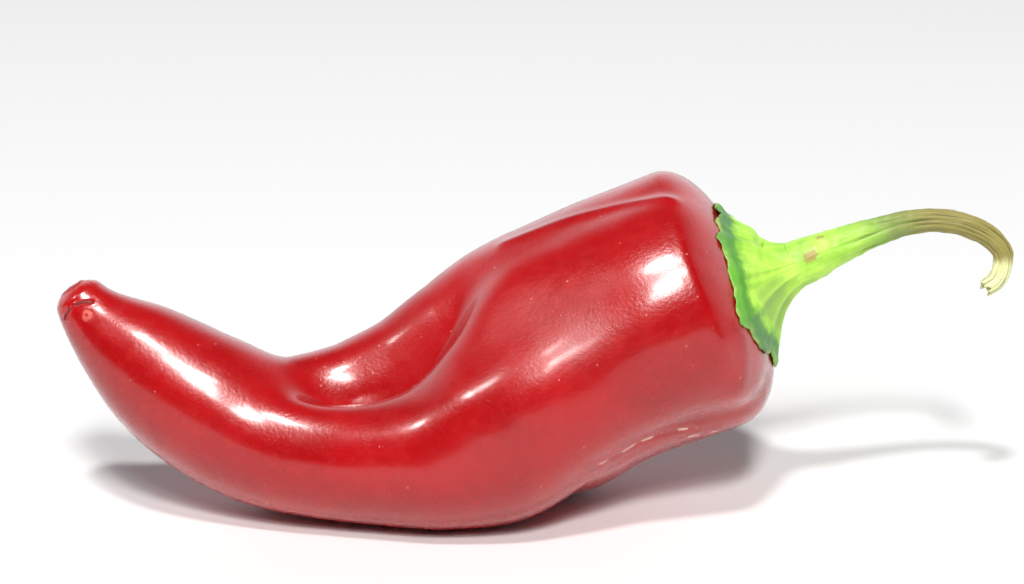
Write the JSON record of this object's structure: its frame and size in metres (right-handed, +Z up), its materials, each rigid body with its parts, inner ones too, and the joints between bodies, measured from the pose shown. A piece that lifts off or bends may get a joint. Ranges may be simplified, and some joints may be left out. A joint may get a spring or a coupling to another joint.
{
  "type": "chilli pepper",
  "caption": "Curved, lobed red chilli pepper with a deep dimple on its upper side, a green calyx and a hooked stalk, lying on its belly.",
  "frame": {"origin": "on the surface that the pepper rests on, under the middle of its bounding box", "axes": "+X from the blossom tip to the stalk, +Y towards the side without the open dimple, +Z up"},
  "size_m": [0.15, 0.0486, 0.0514],
  "materials": {
    "skin": "glossy waxy red skin with a fine grain",
    "calyx": "satin lime green, darker towards dried lobed edges",
    "stalk": "satin, ribbed lengthwise, lime green at the foot and straw coloured at the dry end"
  },
  "bodies": {
    "root": {"pod": "skin", "calyx": "calyx", "stem": "stalk"}
  },
  "joints": []
}
